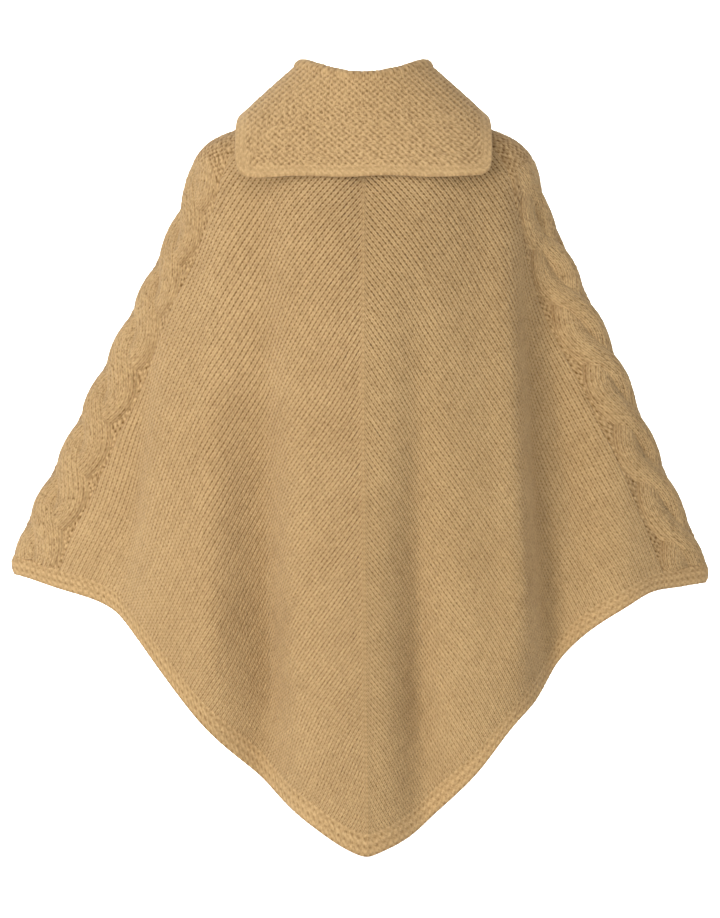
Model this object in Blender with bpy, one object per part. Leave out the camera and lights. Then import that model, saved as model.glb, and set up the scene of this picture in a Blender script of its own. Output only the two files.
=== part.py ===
"""Knitted poncho sweater, filled out as worn: a front and a back with a centre
spine, a rope-cable panel down each shoulder and arm line, and a turned-down collar
with squared corners.

Metres, +Z up. The front faces -Y and the wearer's left is at +X. The origin is at
the base of the neck, where the wearer's neck and shoulders hold the poncho.
"""
import bpy
import numpy as np

# Cloth
WALL = 0.004                # thickness of the knitted cloth
SEAM_GAP = 0.0004           # left open between neighbouring pieces
YARN_COLOUR = (0.491, 0.323, 0.147, 1.0)
YARN_ROUGHNESS = 0.9

# Body. A course is one knitted row, all the way round: level 0 is the neck seam and
# level 1 the hem. At the sides it has its half width and side height, and it hangs
# lower by its drop at the centre of the front and of the back. Pinch flattens the
# rounded ends of its plan into the shoulder and arm line. The poncho hangs a little
# askew: lean moves the sides in X and sway the centres, and tilt lifts the +X side
# and lowers the other.
BODY_COLUMNS = (
    "level", "half_width", "side_height", "front_depth", "back_depth",
    "front_drop", "back_drop", "pinch", "lean", "sway", "tilt",
)
BODY_SECTIONS = (
    (0.000, 0.0700, 0.022, 0.070, 0.068, 0.022, 0.014, 0.00, 0.000, 0.000, 0.000),
    (0.060, 0.1040, 0.010, 0.098, 0.090, 0.052, 0.040, 0.12, 0.000, 0.000, 0.000),
    (0.125, 0.1490, -0.009, 0.126, 0.114, 0.088, 0.078, 0.25, 0.000, 0.000, 0.000),
    (0.180, 0.1825, -0.026, 0.142, 0.128, 0.121, 0.110, 0.38, 0.000, 0.000, 0.000),
    (0.230, 0.2010, -0.050, 0.150, 0.136, 0.142, 0.132, 0.46, 0.001, 0.000, 0.000),
    (0.275, 0.2100, -0.080, 0.155, 0.142, 0.153, 0.145, 0.50, 0.001, 0.000, 0.000),
    (0.340, 0.2275, -0.121, 0.160, 0.148, 0.167, 0.158, 0.53, 0.001, 0.000, 0.000),
    (0.600, 0.3045, -0.285, 0.165, 0.152, 0.226, 0.214, 0.57, -0.001, 0.001, -0.001),
    (0.800, 0.3635, -0.414, 0.163, 0.150, 0.271, 0.257, 0.59, -0.004, 0.002, -0.003),
    (0.900, 0.3935, -0.478, 0.161, 0.148, 0.293, 0.277, 0.60, -0.005, 0.003, -0.004),
    (1.000, 0.4190, -0.540, 0.158, 0.146, 0.315, 0.298, 0.61, -0.004, 0.004, -0.005),
)
SIDE_LENGTH = 0.69          # neck seam to hem, down the shoulder and arm line

# How a course falls from its sides to its centre: the share of its drop, across its
# half width from the centre (0) to the side (1).
COURSE_COLUMNS = ("across", "fall_at_neck", "fall_at_hem")
COURSE_SHAPE = (
    (0.00, 1.000, 1.000),
    (0.22, 0.748, 0.776),
    (0.44, 0.496, 0.480),
    (0.55, 0.370, 0.302),
    (0.64, 0.268, 0.172),
    (0.76, 0.146, 0.064),
    (0.92, 0.029, 0.006),
    (1.00, 0.000, -0.014),
)
TIP_ROUND = 0.025

# Hanging folds. Each stands at x_start where it begins, and at x_hem at the hem.
# A negative depth is a valley and a positive one a ridge.
FOLD_COLUMNS = ("face", "x_start", "x_hem", "level_start", "half_breadth", "depth")
FOLDS = (
    ("front", -0.290, -0.306, 0.70, 0.030, -0.012),
    ("front", -0.190, -0.215, 0.36, 0.048, 0.016),
    ("front", -0.142, -0.122, 0.40, 0.036, -0.027),
    ("front", -0.050, -0.030, 0.40, 0.056, 0.010),
    ("front", 0.046, 0.068, 0.48, 0.036, -0.021),
    ("front", 0.112, 0.146, 0.38, 0.042, 0.009),
    ("front", 0.190, 0.234, 0.24, 0.042, -0.036),
    ("front", 0.250, 0.300, 0.45, 0.040, 0.010),
    ("back", -0.245, -0.300, 0.52, 0.040, 0.010),
    ("back", -0.185, -0.226, 0.28, 0.042, -0.034),
    ("back", -0.105, -0.140, 0.40, 0.045, 0.013),
    ("back", -0.045, -0.062, 0.50, 0.036, -0.021),
    ("back", 0.030, 0.040, 0.42, 0.055, 0.010),
    ("back", 0.118, 0.130, 0.38, 0.038, -0.028),
    ("back", 0.180, 0.212, 0.42, 0.045, 0.012),
    ("back", 0.250, 0.292, 0.62, 0.030, -0.018),
)
FOLD_FADE = 0.35            # share of the depth over which folds run out at the sides

# Waves of the hem line, which fade up the cloth
HEM_WAVE_COLUMNS = ("face", "x", "half_breadth", "lift")
HEM_WAVES = (
    ("front", -0.345, 0.045, -0.004),
    ("front", -0.175, 0.060, -0.007),
    ("front", 0.060, 0.035, -0.005),
    ("front", 0.168, 0.034, 0.013),
    ("front", 0.335, 0.040, 0.004),
    ("back", -0.160, 0.040, 0.010),
    ("back", 0.175, 0.050, -0.007),
)
HEM_WAVE_RISE = 8           # power of the level by which they grow

# Cable panels. Each starts on the shoulder line at the neck seam, and soon runs in front
# of it, by its centre's length round the body. The crossings are counted down the
# cable, from the neck seam.
CABLE_CENTRE = 0.034
CABLE_PANEL_HALF = 0.041
STRAND_SWING = 0.0155       # how far each strand's centre swings to either side
STRAND_HALF = 0.0225
STRAND_HEIGHT = 0.0095
STRAND_DIP = 0.44           # how much lower the under-strand lies, as a share
STRAND_BLUNTNESS = 0.6      # 0.5 is an elliptical section
CABLE_FULL_FROM = 0.17      # length over which the cable swells from the neck seam
CABLE_NECK_SHARE = 0.2
CABLE_COLUMNS = ("panel", "side", "first_crossing", "crossing_spacing")
CABLES = (
    ("cable_panel_right", -1, 0.000, 0.069),
    ("cable_panel_left", 1, 0.027, 0.075),
)

# Centre spine and hem border
SPINE_HALF = 0.006
SPINE_HEIGHT = 0.0012
BORDER_LEVEL = 0.970
BORDER_STEP = 0.005
BORDER_HEIGHT = 0.0012

# Collar. Heights are at its centre line, and its cloth is WALL thick.
COLLAR_FOLD_HALF_WIDTH = 0.0735
COLLAR_FOLD_DEPTH = 0.068
COLLAR_FOLD_FRONT = 0.061   # height of the fold at the centre front
COLLAR_FOLD_SIDE = 0.082
COLLAR_FOLD_BACK = 0.068
COLLAR_EDGE_HALF_WIDTH = 0.1503
COLLAR_EDGE_DEPTH = 0.125
COLLAR_EDGE_HEIGHT = -0.0645
COLLAR_EDGE_SIDE = 0.012    # height of its edge on top of the shoulder
COLLAR_SQUARENESS = 6.5     # of the edge, seen from above; 2 is an ellipse
COLLAR_EDGE_LEVEL_FROM = 0.097  # the edge is level further forward than this
COLLAR_EDGE_CURVE = 2.3     # how the edge falls from the shoulder to there
COLLAR_FOLD_RADIUS = 0.0085
COLLAR_FOLD_TURNS = np.radians([180, 120, 60, 0])
COLLAR_PARTS = (0.15, 0.31, 0.47, 0.62, 0.75, 0.86, 0.88, 1.0)

# How finely the solids are cut
PANEL_COLUMNS = 22          # in each half of the front or back
CABLE_STRIPS = 14
CABLE_ROW = 0.011
COLLAR_SPOKES = 56
LEVELS = (
    0.0, 0.04, 0.08, 0.12, 0.155, 0.19, 0.22, 0.25, 0.28, 0.32, 0.38, 0.46, 0.55,
    0.64, 0.73, 0.82, 0.90, BORDER_LEVEL - BORDER_STEP, BORDER_LEVEL, 1.0,
)
FINE_ANGLES = np.radians(np.linspace(-180.0, 180.0, 1441))
SIDE_ANGLE = np.pi / 2
TINY = 0.002                # step along the surface, to find its slopes


def smooth_row(table, columns, at):
    """The table's columns at any value of its first one, through smooth curves."""
    table = np.array(table)
    knots, values = table[:, 0], table[:, 1:]
    slopes = np.gradient(values, knots, axis=0)
    row = np.clip(np.searchsorted(knots, at, side="right") - 1, 0, len(knots) - 2)
    span = (knots[row + 1] - knots[row])[..., None]
    t = (at - knots[row])[..., None] / span
    mixed = (
        values[row] * (1 + 2 * t) * (1 - t) ** 2
        + values[row + 1] * (3 - 2 * t) * t ** 2
        + slopes[row] * span * t * (1 - t) ** 2
        - slopes[row + 1] * span * t ** 2 * (1 - t)
    )
    return dict(zip(columns[1:], np.moveaxis(mixed, -1, 0)))


def smooth_step(value):
    value = np.clip(value, 0, 1)
    return value ** 2 * (3 - 2 * value)


def course_fall(across, level):
    """Share of the drop, 1 at the centre and 0 near the side."""
    across = (np.hypot(across, TIP_ROUND) - TIP_ROUND) / (np.hypot(1, TIP_ROUND) - TIP_ROUND)
    shape = smooth_row(COURSE_SHAPE, COURSE_COLUMNS, across)
    near_hem = level ** 2
    return shape["fall_at_neck"] * (1 - near_hem) + shape["fall_at_hem"] * near_hem


def body_surface(level, angle):
    """Points of the cloth's inner face. The angle is 0 at the centre front, and a
    quarter turn at the +X side."""
    level, angle = np.broadcast_arrays(np.asarray(level, float), angle)
    size = smooth_row(BODY_SECTIONS, BODY_COLUMNS, level)
    sine, cosine = np.sin(angle), np.cos(angle)
    front = cosine > 0
    across = np.abs(sine)
    depth = np.where(front, size["front_depth"], size["back_depth"])
    drop = np.where(front, size["front_drop"], size["back_drop"])
    x = size["half_width"] * sine
    y = -depth * cosine * (1 - size["pinch"] * across ** 2)
    z = size["side_height"] - drop * course_fall(across, level)
    out_x, out_y = x / size["half_width"] ** 2, y / depth ** 2
    out = np.maximum(np.hypot(out_x, out_y), 1e-9)
    fade = smooth_step(np.abs(cosine) / FOLD_FADE)
    start_x = x.copy()
    for row in FOLDS:
        fold = dict(zip(FOLD_COLUMNS, row))
        run = np.clip((level - fold["level_start"]) / (1 - fold["level_start"]), 0, 1)
        centre = fold["x_start"] + (fold["x_hem"] - fold["x_start"]) * run
        offset = (start_x - centre) / fold["half_breadth"]
        reach = (1 - (1 - run) ** 2) * np.exp(-offset ** 2)
        push = fold["depth"] * reach * fade * (front == (fold["face"] == "front"))
        x = x + push * out_x / out
        y = y + push * out_y / out
    for row in HEM_WAVES:
        wave = dict(zip(HEM_WAVE_COLUMNS, row))
        offset = (start_x - wave["x"]) / wave["half_breadth"]
        reach = level ** HEM_WAVE_RISE * np.exp(-offset ** 2)
        z = z + wave["lift"] * reach * fade * (front == (wave["face"] == "front"))
    x = x + size["lean"] * across ** 2 + size["sway"] * cosine ** 2
    z = z + size["tilt"] * sine * across ** 2
    return np.stack([x, y, z], axis=-1)


def body_normal(level, angle):
    """Outward unit normals of the body surface."""
    low, high = np.clip(level - TINY, 0, 1), np.clip(level + TINY, 0, 1)
    down = body_surface(high, angle) - body_surface(low, angle)
    along = body_surface(level, angle + TINY) - body_surface(level, angle - TINY)
    normal = np.cross(down, along)
    return normal / np.linalg.norm(normal, axis=-1, keepdims=True)


def angles_at(level, side_sign, lengths):
    """Angles on one course, at lengths round it from the side line towards the
    centre front (negative lengths run to the back)."""
    points = body_surface(level, FINE_ANGLES)
    run = np.concatenate([[0], np.cumsum(np.linalg.norm(np.diff(points, axis=0), axis=1))])
    side = np.interp(side_sign * SIDE_ANGLE, FINE_ANGLES, run)
    return np.interp(side - side_sign * lengths, run, FINE_ANGLES)


def half_course_length(level, side_sign, to_front):
    """Length round one course, from its side line to the centre front or back."""
    far = 0.0 if to_front else side_sign * np.pi
    angles = np.linspace(side_sign * SIDE_ANGLE, far, 361)
    points = body_surface(level, angles)
    return np.linalg.norm(np.diff(points, axis=0), axis=1).sum()


def spine_relief(from_spine):
    """Height of the smooth column of double decreases."""
    return SPINE_HEIGHT * np.clip(1 - (from_spine / SPINE_HALF) ** 2, 0, 1)


def cable_centre(level):
    """How far the middle of a cable panel lies in front of the side line."""
    return CABLE_CENTRE * smooth_step(level * SIDE_LENGTH / CABLE_FULL_FROM)


def cable_relief(cable, across, down):
    """Height of the rope cable. Across is positive to the right, for someone who
    faces the cable, and every over-strand crosses down to the right."""
    turn = np.pi * (0.5 + (down - cable["first_crossing"]) / cable["crossing_spacing"])
    lean = np.pi * STRAND_SWING / cable["crossing_spacing"] * np.sin(turn)
    half = STRAND_HALF * np.hypot(1, lean)
    heights = []
    for strand in (-1, 1):
        centre = strand * STRAND_SWING * np.cos(turn)
        lift = 1 - STRAND_DIP * (1 + strand * np.sin(turn)) / 2
        inside = np.clip(1 - ((across - centre) / half) ** 2, 0, 1)
        heights.append(lift * inside ** STRAND_BLUNTNESS)
    swell = np.clip(down / CABLE_FULL_FROM, 0, 1)
    swell = CABLE_NECK_SHARE + (1 - CABLE_NECK_SHARE) * swell
    return STRAND_HEIGHT * swell * np.maximum(*heights)


def border_relief(level):
    """The hem border stands a little proud of the cloth above it."""
    return BORDER_HEIGHT * (level >= BORDER_LEVEL - 1e-6)


def wall_faces(outer, inner, row_steps):
    """Faces of a closed wall between two grids of vertex numbers, whose rows match
    where the outer grid has counted as many rows as row_steps gives."""
    faces = []
    for grid, turned in ((outer, False), (inner, True)):
        for r in range(grid.shape[0] - 1):
            for c in range(grid.shape[1] - 1):
                quad = [grid[r, c], grid[r + 1, c], grid[r + 1, c + 1], grid[r, c + 1]]
                faces.append(quad[::-1] if turned else quad)
    for c in range(outer.shape[1] - 1):
        faces.append([outer[0, c], outer[0, c + 1], inner[0, c + 1], inner[0, c]])
        faces.append([outer[-1, c + 1], outer[-1, c], inner[-1, c], inner[-1, c + 1]])
    for r in range(inner.shape[0] - 1):
        rows = list(range(row_steps[r], row_steps[r + 1] + 1))
        right = [outer[k, -1] for k in rows] + [inner[r + 1, -1], inner[r, -1]]
        left = [outer[k, 0] for k in reversed(rows)] + [inner[r, 0], inner[r + 1, 0]]
        faces.extend([right, left])
    return faces


def add_piece(name, points, faces):
    """One closed mesh object with the yarn's material."""
    mesh = bpy.data.meshes.new(name)
    mesh.from_pydata([tuple(p) for p in points], [], [list(map(int, f)) for f in faces])
    mesh.shade_smooth()
    piece = bpy.data.objects.new(name, mesh)
    bpy.context.scene.collection.objects.link(piece)
    mesh.materials.append(yarn_material(name))
    return piece


def yarn_material(name):
    """Matt wool yarn."""
    material = bpy.data.materials.new(name + "_yarn")
    material.use_nodes = True
    shader = material.node_tree.nodes["Principled BSDF"]
    shader.inputs["Base Color"].default_value = YARN_COLOUR
    shader.inputs["Roughness"].default_value = YARN_ROUGHNESS
    return material


def build_wall(name, outer, inner, row_steps):
    """A wall from a grid of outer points and a grid of inner ones."""
    outer_ids = np.arange(outer.shape[0] * outer.shape[1]).reshape(outer.shape[:2])
    inner_ids = outer_ids.size + np.arange(inner.shape[0] * inner.shape[1])
    inner_ids = inner_ids.reshape(inner.shape[:2])
    points = np.concatenate([outer.reshape(-1, 3), inner.reshape(-1, 3)])
    add_piece(name, points, wall_faces(outer_ids, inner_ids, row_steps))


def half_row(level, side_sign, to_front):
    """Angles and raised heights of one half of a panel, from its seam to its spine."""
    forward = cable_centre(level) if to_front else -cable_centre(level)
    start = CABLE_PANEL_HALF + SEAM_GAP / 2 + forward
    reach = half_course_length(level, side_sign, to_front)
    plain = np.linspace(start, reach - SPINE_HALF, PANEL_COLUMNS + 1)
    lengths = np.concatenate([plain, [reach - SPINE_HALF / 2, reach]])
    angles = angles_at(level, side_sign, lengths if to_front else -lengths)
    return angles, spine_relief(reach - lengths)


def build_panel(name, to_front):
    """The front or the back, from one cable panel round to the other."""
    first = -1 if to_front else 1
    inner, outer = [], []
    for level in LEVELS:
        near_angles, near_heights = half_row(level, first, to_front)
        far_angles, far_heights = half_row(level, -first, to_front)
        if not to_front:
            far_angles = far_angles + 2 * np.pi
        angles = np.concatenate([near_angles, far_angles[-2::-1]])
        heights = np.concatenate([near_heights, far_heights[-2::-1]])
        points = body_surface(level, angles)
        height = WALL + heights + border_relief(level)
        inner.append(points)
        outer.append(points + body_normal(level, angles) * height[:, None])
    build_wall(name, np.array(outer), np.array(inner), list(range(len(LEVELS))))


def build_cable_panel(cable):
    """The panel that runs down one shoulder and arm line, with its rope cable."""
    edge = CABLE_PANEL_HALF - SEAM_GAP / 2
    across = np.linspace(-edge, edge, CABLE_STRIPS + 1)
    side = cable["side"]
    inner, normals = [], []
    for level in LEVELS:
        angles = angles_at(level, side, cable_centre(level) - side * across)
        inner.append(body_surface(level, angles))
        normals.append(body_normal(level, angles))
    outer, steps = [], [0]
    for r in range(len(LEVELS) - 1):
        low, high = LEVELS[r], LEVELS[r + 1]
        count = max(1, int(np.ceil((high - low) * SIDE_LENGTH / CABLE_ROW)))
        last = r == len(LEVELS) - 2
        for k in range(count + 1 if last else count):
            t = k / count
            level = low + (high - low) * t
            height = WALL + cable_relief(cable, across, level * SIDE_LENGTH)
            height = height + BORDER_HEIGHT * np.interp(
                level, [BORDER_LEVEL - BORDER_STEP, BORDER_LEVEL], [0, 1])
            point = inner[r] * (1 - t) + inner[r + 1] * t
            normal = normals[r] * (1 - t) + normals[r + 1] * t
            outer.append(point + normal * height[:, None])
        steps.append(steps[-1] + count)
    build_wall(cable["panel"], np.array(outer), np.array(inner), steps)


def rounded_ring(half_width, half_depth, squareness, shares):
    """Points of a rounded plan, at even shares of each quarter of the way round."""
    angles = np.linspace(-np.pi, np.pi, 2881)
    sine, cosine = np.sin(angles), np.cos(angles)
    power = 2 / squareness
    x = half_width * np.sign(sine) * np.abs(sine) ** power
    y = -half_depth * np.sign(cosine) * np.abs(cosine) ** power
    run = np.concatenate([[0], np.cumsum(np.hypot(np.diff(x), np.diff(y)))])
    ring = []
    for low, high, part in quarter_shares(shares):
        start, end = np.interp([low, high], angles, run)
        ring.append(start + (end - start) * part)
    at = np.concatenate(ring)
    return np.interp(at, run, x), np.interp(at, run, y)


def quarter_shares(shares):
    """Each quarter turn, with the shares that fall into it as parts of a quarter."""
    quarters = []
    for q in range(4):
        inside = (shares >= q / 4) & (shares < (q + 1) / 4)
        low = -np.pi + q * np.pi / 2
        quarters.append((low, low + np.pi / 2, shares[inside] * 4 - q))
    return quarters


def collar_seam(shares):
    """The two edges of the collar's end at the neck seam: the side that faces the
    neck, and the side that faces out."""
    ring_x, ring_y = rounded_ring(1, 1, 2, shares)
    angles = np.arctan2(ring_x, -ring_y)
    seam = body_surface(0.0, angles)
    down = body_surface(TINY, angles) - seam
    down = down / np.linalg.norm(down, axis=1, keepdims=True)
    neck_side = seam - down * SEAM_GAP
    return neck_side, neck_side + body_normal(0.0, angles) * WALL


def collar_rings(shares, seam_middle):
    """Centre line of the collar's cloth as rings, from its stand to its edge."""
    ring_x, ring_y = rounded_ring(1, 1, 2, shares)
    up = np.array([0.0, 0.0, 1.0])
    outward = np.stack([ring_x, ring_y, 0 * ring_x], axis=1)
    fold_x, fold_y = rounded_ring(COLLAR_FOLD_HALF_WIDTH, COLLAR_FOLD_DEPTH, 2, shares)
    middle = np.where(ring_y <= 0, COLLAR_FOLD_FRONT, COLLAR_FOLD_BACK)
    fold_z = middle + (COLLAR_FOLD_SIDE - middle) * ring_x ** 2
    bend = np.stack([fold_x, fold_y, fold_z - COLLAR_FOLD_RADIUS], axis=1)
    rings = [seam_middle + (bend - outward * COLLAR_FOLD_RADIUS - seam_middle) * 0.5]
    for turn in COLLAR_FOLD_TURNS:
        rings.append(bend + COLLAR_FOLD_RADIUS * (np.cos(turn) * outward + np.sin(turn) * up))

    edge_x, edge_y = rounded_ring(
        COLLAR_EDGE_HALF_WIDTH, COLLAR_EDGE_DEPTH, COLLAR_SQUARENESS, shares)
    forward = np.clip(np.abs(edge_y) / COLLAR_EDGE_LEVEL_FROM, 0, 1)
    edge_drop = (COLLAR_EDGE_HEIGHT - COLLAR_EDGE_SIDE) * forward ** COLLAR_EDGE_CURVE
    edge_z = COLLAR_EDGE_SIDE + edge_drop
    edge = np.stack([edge_x, edge_y, edge_z], axis=1)
    start = rings[-1]
    for part in COLLAR_PARTS:
        rings.append(start + (edge - start) * part)
    return np.array(rings)


def build_collar():
    """The collar: a stand from the neck seam up to its fold, and the turned-down
    part, which lies over the shoulders, with a border along its squared edge."""
    shares = np.arange(COLLAR_SPOKES) / COLLAR_SPOKES
    neck_side, far_side = collar_seam(shares)
    seam_middle = (neck_side + far_side) / 2
    rings = collar_rings(shares, seam_middle)
    before = np.concatenate([seam_middle[None], rings[:-1]])
    after = np.concatenate([rings[1:], (2 * rings[-1] - rings[-2])[None]])
    around = np.roll(rings, -1, axis=1) - np.roll(rings, 1, axis=1)
    normals = np.cross(after - before, around)
    normals = normals / np.linalg.norm(normals, axis=2, keepdims=True)
    raised = np.zeros((len(rings), 1, 1))
    raised[-2:] = BORDER_HEIGHT
    shown = np.concatenate([neck_side[None], rings + normals * (WALL / 2 + raised)])
    hidden = np.concatenate([far_side[None], rings - normals * WALL / 2])
    loop = np.concatenate([shown, hidden[::-1]])
    ids = np.arange(loop.shape[0] * loop.shape[1]).reshape(loop.shape[:2])
    faces = []
    for r in range(len(loop)):
        for c in range(COLLAR_SPOKES):
            below, beside = (r + 1) % len(loop), (c + 1) % COLLAR_SPOKES
            faces.append([ids[r, c], ids[below, c], ids[below, beside], ids[r, beside]])
    add_piece("collar", loop.reshape(-1, 3), faces)


def clear_scene():
    for old in list(bpy.data.objects):
        bpy.data.objects.remove(old, do_unlink=True)


def main():
    clear_scene()
    build_panel("front", True)
    build_panel("back", False)
    for row in CABLES:
        build_cable_panel(dict(zip(CABLE_COLUMNS, row)))
    build_collar()


main()
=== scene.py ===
"""Knitted poncho sweater: stitched panels, rope cables, moss-stitch collar, and the
studio that it is shown in.

Metres, +Z up. The front faces -Y and the wearer's left is at +X.
"""

import bpy
import numpy as np
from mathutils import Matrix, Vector


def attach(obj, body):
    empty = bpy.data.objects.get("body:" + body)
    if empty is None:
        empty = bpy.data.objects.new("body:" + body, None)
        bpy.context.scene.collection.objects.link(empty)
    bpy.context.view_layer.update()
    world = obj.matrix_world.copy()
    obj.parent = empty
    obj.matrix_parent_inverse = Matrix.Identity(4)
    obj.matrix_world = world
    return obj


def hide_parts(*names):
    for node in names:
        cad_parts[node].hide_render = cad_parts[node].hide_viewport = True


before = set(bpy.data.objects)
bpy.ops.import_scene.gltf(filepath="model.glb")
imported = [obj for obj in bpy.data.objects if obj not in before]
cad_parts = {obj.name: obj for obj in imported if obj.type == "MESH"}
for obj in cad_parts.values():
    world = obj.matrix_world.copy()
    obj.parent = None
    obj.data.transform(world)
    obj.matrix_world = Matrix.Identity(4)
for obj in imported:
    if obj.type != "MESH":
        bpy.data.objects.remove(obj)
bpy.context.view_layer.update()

# Cloth
WALL = 0.004  # thickness of the knitted cloth
SEAM_GAP = 0.0004
STITCH_AT_HEM = 0.0043  # width of one stitch, from wale to wale
STITCH = 0.0050  # the same on the cables, borders and collar
COURSES = 140  # rows of stitches from the neck seam to the hem border, in fours

# Body. A course is one knitted row, all the way round: level 0 is the neck seam and
# level 1 the hem. At the sides it has its half width and side height, and it hangs
# lower by its drop at the centre of the front and of the back. Pinch flattens the
# rounded ends of its plan into the shoulder and arm line. The poncho hangs a little
# askew: lean moves the sides in X and sway the centres, and tilt lifts the +X side
# and lowers the other.
BODY_COLUMNS = (
    "level", "half_width", "side_height", "front_depth", "back_depth",
    "front_drop", "back_drop", "pinch", "lean", "sway", "tilt",
)
BODY_SECTIONS = (
    (0.000, 0.0700, 0.022, 0.070, 0.068, 0.022, 0.014, 0.00, 0.000, 0.000, 0.000),
    (0.060, 0.1040, 0.010, 0.098, 0.090, 0.052, 0.040, 0.12, 0.000, 0.000, 0.000),
    (0.125, 0.1490, -0.009, 0.126, 0.114, 0.088, 0.078, 0.25, 0.000, 0.000, 0.000),
    (0.180, 0.1825, -0.026, 0.142, 0.128, 0.121, 0.110, 0.38, 0.000, 0.000, 0.000),
    (0.230, 0.2010, -0.050, 0.150, 0.136, 0.142, 0.132, 0.46, 0.001, 0.000, 0.000),
    (0.275, 0.2100, -0.080, 0.155, 0.142, 0.153, 0.145, 0.50, 0.001, 0.000, 0.000),
    (0.340, 0.2275, -0.121, 0.160, 0.148, 0.167, 0.158, 0.53, 0.001, 0.000, 0.000),
    (0.600, 0.3045, -0.285, 0.165, 0.152, 0.226, 0.214, 0.57, -0.001, 0.001, -0.001),
    (0.800, 0.3635, -0.414, 0.163, 0.150, 0.271, 0.257, 0.59, -0.004, 0.002, -0.003),
    (0.900, 0.3935, -0.478, 0.161, 0.148, 0.293, 0.277, 0.60, -0.005, 0.003, -0.004),
    (1.000, 0.4190, -0.540, 0.158, 0.146, 0.315, 0.298, 0.61, -0.004, 0.004, -0.005),
)
SIDE_LENGTH = 0.69  # neck seam to hem, down the shoulder and arm line

# How a course falls from its sides to its centre: the share of its drop, across its
# half width from the centre (0) to the side (1).
COURSE_COLUMNS = ("across", "fall_at_neck", "fall_at_hem")
COURSE_SHAPE = (
    (0.00, 1.000, 1.000),
    (0.22, 0.748, 0.776),
    (0.44, 0.496, 0.480),
    (0.55, 0.370, 0.302),
    (0.64, 0.268, 0.172),
    (0.76, 0.146, 0.064),
    (0.92, 0.029, 0.006),
    (1.00, 0.000, -0.014),
)
TIP_ROUND = 0.025

# Hanging folds, and the softer creases between them. Each stands at x_start where it
# begins, and at x_hem at the hem. A negative depth is a valley and a positive one a
# ridge.
FOLD_COLUMNS = ("face", "x_start", "x_hem", "level_start", "half_breadth", "depth")
FOLDS = (
    ("front", -0.290, -0.306, 0.70, 0.030, -0.012),
    ("front", -0.190, -0.215, 0.36, 0.048, 0.016),
    ("front", -0.142, -0.122, 0.40, 0.036, -0.027),
    ("front", -0.050, -0.030, 0.40, 0.056, 0.010),
    ("front", 0.046, 0.068, 0.48, 0.036, -0.021),
    ("front", 0.112, 0.146, 0.38, 0.042, 0.009),
    ("front", 0.190, 0.234, 0.24, 0.042, -0.036),
    ("front", 0.250, 0.300, 0.45, 0.040, 0.010),
    ("back", -0.245, -0.300, 0.52, 0.040, 0.010),
    ("back", -0.185, -0.226, 0.28, 0.042, -0.034),
    ("back", -0.105, -0.140, 0.40, 0.045, 0.013),
    ("back", -0.045, -0.062, 0.50, 0.036, -0.021),
    ("back", 0.030, 0.040, 0.42, 0.055, 0.010),
    ("back", 0.118, 0.130, 0.38, 0.038, -0.028),
    ("back", 0.180, 0.212, 0.42, 0.045, 0.012),
    ("back", 0.250, 0.292, 0.62, 0.030, -0.018),
)
CREASES = (
    ("front", -0.230, -0.286, 0.20, 0.019, -0.013),
    ("front", -0.162, -0.176, 0.16, 0.020, 0.011),
    ("front", -0.116, -0.111, 0.08, 0.024, -0.023),
    ("front", 0.016, 0.026, 0.20, 0.020, 0.005),
    ("front", 0.056, 0.070, 0.22, 0.020, -0.012),
    ("front", 0.156, 0.188, 0.10, 0.026, 0.022),
    ("front", 0.208, 0.282, 0.10, 0.022, -0.022),
    ("back", -0.150, -0.182, 0.24, 0.018, 0.003),
    ("back", -0.075, -0.098, 0.60, 0.016, -0.004),
    ("back", -0.008, -0.012, 0.58, 0.017, 0.003),
    ("back", 0.072, 0.088, 0.55, 0.018, 0.004),
    ("back", 0.160, 0.170, 0.66, 0.016, -0.004),
)
CREASE_EASE = 0.8  # share by which creases open out towards the hem
CREASE_EASE_FROM = 0.82
FOLD_FADE = 0.35  # share of the depth over which folds run out at the sides

# Waves of the hem line, which fade up the cloth
HEM_WAVE_COLUMNS = ("face", "x", "half_breadth", "lift")
HEM_WAVES = (
    ("front", -0.345, 0.045, -0.004),
    ("front", -0.175, 0.060, -0.007),
    ("front", 0.004, 0.026, 0.005),
    ("front", 0.060, 0.035, -0.005),
    ("front", 0.168, 0.034, 0.013),
    ("front", 0.335, 0.040, 0.004),
    ("back", -0.160, 0.040, 0.010),
    ("back", 0.175, 0.050, -0.007),
)
HEM_WAVE_RISE = 8  # power of the level by which they grow
HEM_DRAW = 0.020  # the border draws in at the sides, by this share of the width
HEM_DRAW_FROM = 0.972
HEM_DRAW_POWER = 8  # of the share of the width, by which it grows

# Stockinette. Four vertices make one stitch across and two make it along its wale:
# the edge between two wales, the left leg, the middle of the V and the right leg.
LEG_SHIFTS = ((0.0, -0.06, 0.0, 0.06), (0.0, 0.10, 0.0, -0.10))
LEG_RELIEF = ((0.72, 1.00, 0.88, 1.00), (0.00, 0.84, 0.92, 0.84))
STITCH_HEIGHT = 0.0014
STITCH_COLUMNS = 4
STITCH_ROWS = 2
OPENNESS_LEVELS = (0.10, 0.35, 0.75, 1.00)
OPENNESS = (1.55, 1.15, 0.90, 0.65)  # depth of the gaps: the neck is stretched open
WALE_WANDER = 0.06  # unevenness of the wales, in stitches
LEG_WANDER = 0.12  # unevenness of the stitches' height, as a share
# Waves that it is made of, with their rates across and down, and their phase
WANDER_WAVES = ((61, 43, 1.3), (-29, 37, 0), (173, -97, 0), (83, 149, 0.6))
STITCH_SCATTER = 0.15  # how far single stitches stand up or sink
SCATTER = np.random.default_rng(11)

# Wales lie between square to their courses (1) and alongside the cable (0). They grow
# narrower down the cloth, and from the cable to the spine.
SQUARENESS_LEVELS = (0.26, 0.34)
WALE_SQUARENESS = (0.95, 0.53)
WALE_NARROWING = 0.42  # for each unit of level
WALE_SPREAD = 0.18  # wider by this share at the cable, narrower by it at the spine

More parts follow.
